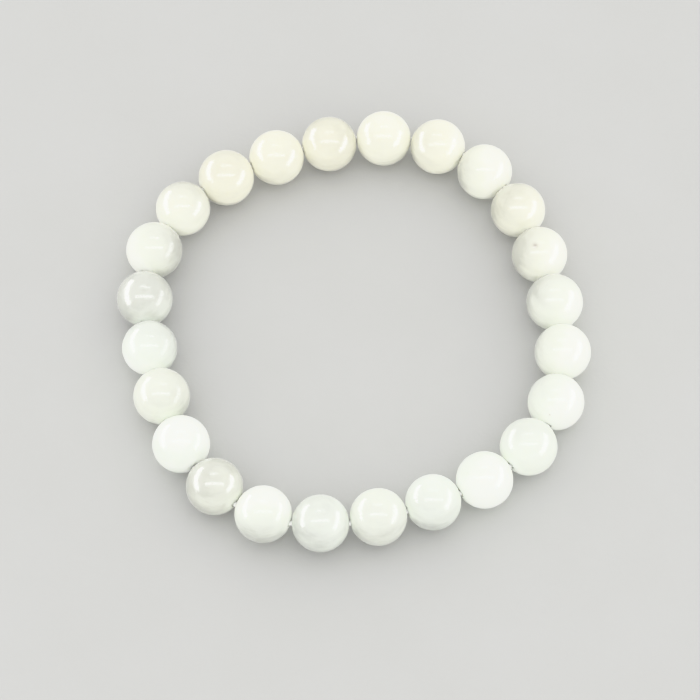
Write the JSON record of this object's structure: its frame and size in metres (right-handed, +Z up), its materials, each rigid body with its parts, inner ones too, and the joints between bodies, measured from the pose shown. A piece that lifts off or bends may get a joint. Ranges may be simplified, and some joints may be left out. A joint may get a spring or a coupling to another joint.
{
  "type": "beaded stretch bracelet",
  "caption": "Bracelet of round polished milky white stone beads, drilled through and strung edge to edge on one elastic cord, lying flat in a soft loop.",
  "frame": {"origin": "middle of the loop, on the surface that it lies on", "axes": "+Z up out of the surface, +X to the right and +Y to the back as the picture's camera sees the loop"},
  "size_m": [0.0676, 0.0704, 0.0081],
  "materials": {
    "stone_white": "milky white stone, tumble-polished to a high gloss",
    "stone_grey": "clearer grey-white stone, tumble-polished to a high gloss",
    "stone_cream": "cream-white stone, tumble-polished to a high gloss",
    "elastic": "white multi-strand elastic, satin"
  },
  "bodies": {
    "root": {"bead_01": "stone_white", "bead_02": "stone_grey", "bead_03": "stone_white", "bead_04": "stone_cream", "bead_05": "stone_cream", "bead_06": "stone_white", "bead_07": "stone_white", "bead_08": "stone_white", "bead_09": "stone_white", "bead_10": "stone_white", "bead_11": "stone_white", "bead_12": "stone_white", "bead_13": "stone_grey", "bead_14": "stone_white", "bead_15": "stone_grey", "bead_16": "stone_white", "bead_17": "stone_cream", "bead_18": "stone_white", "bead_19": "stone_grey", "bead_20": "stone_cream", "bead_21": "stone_grey", "bead_22": "stone_grey", "bead_23": "stone_grey", "bead_24": "stone_grey", "elastic_cord": "elastic"}
  },
  "joints": []
}
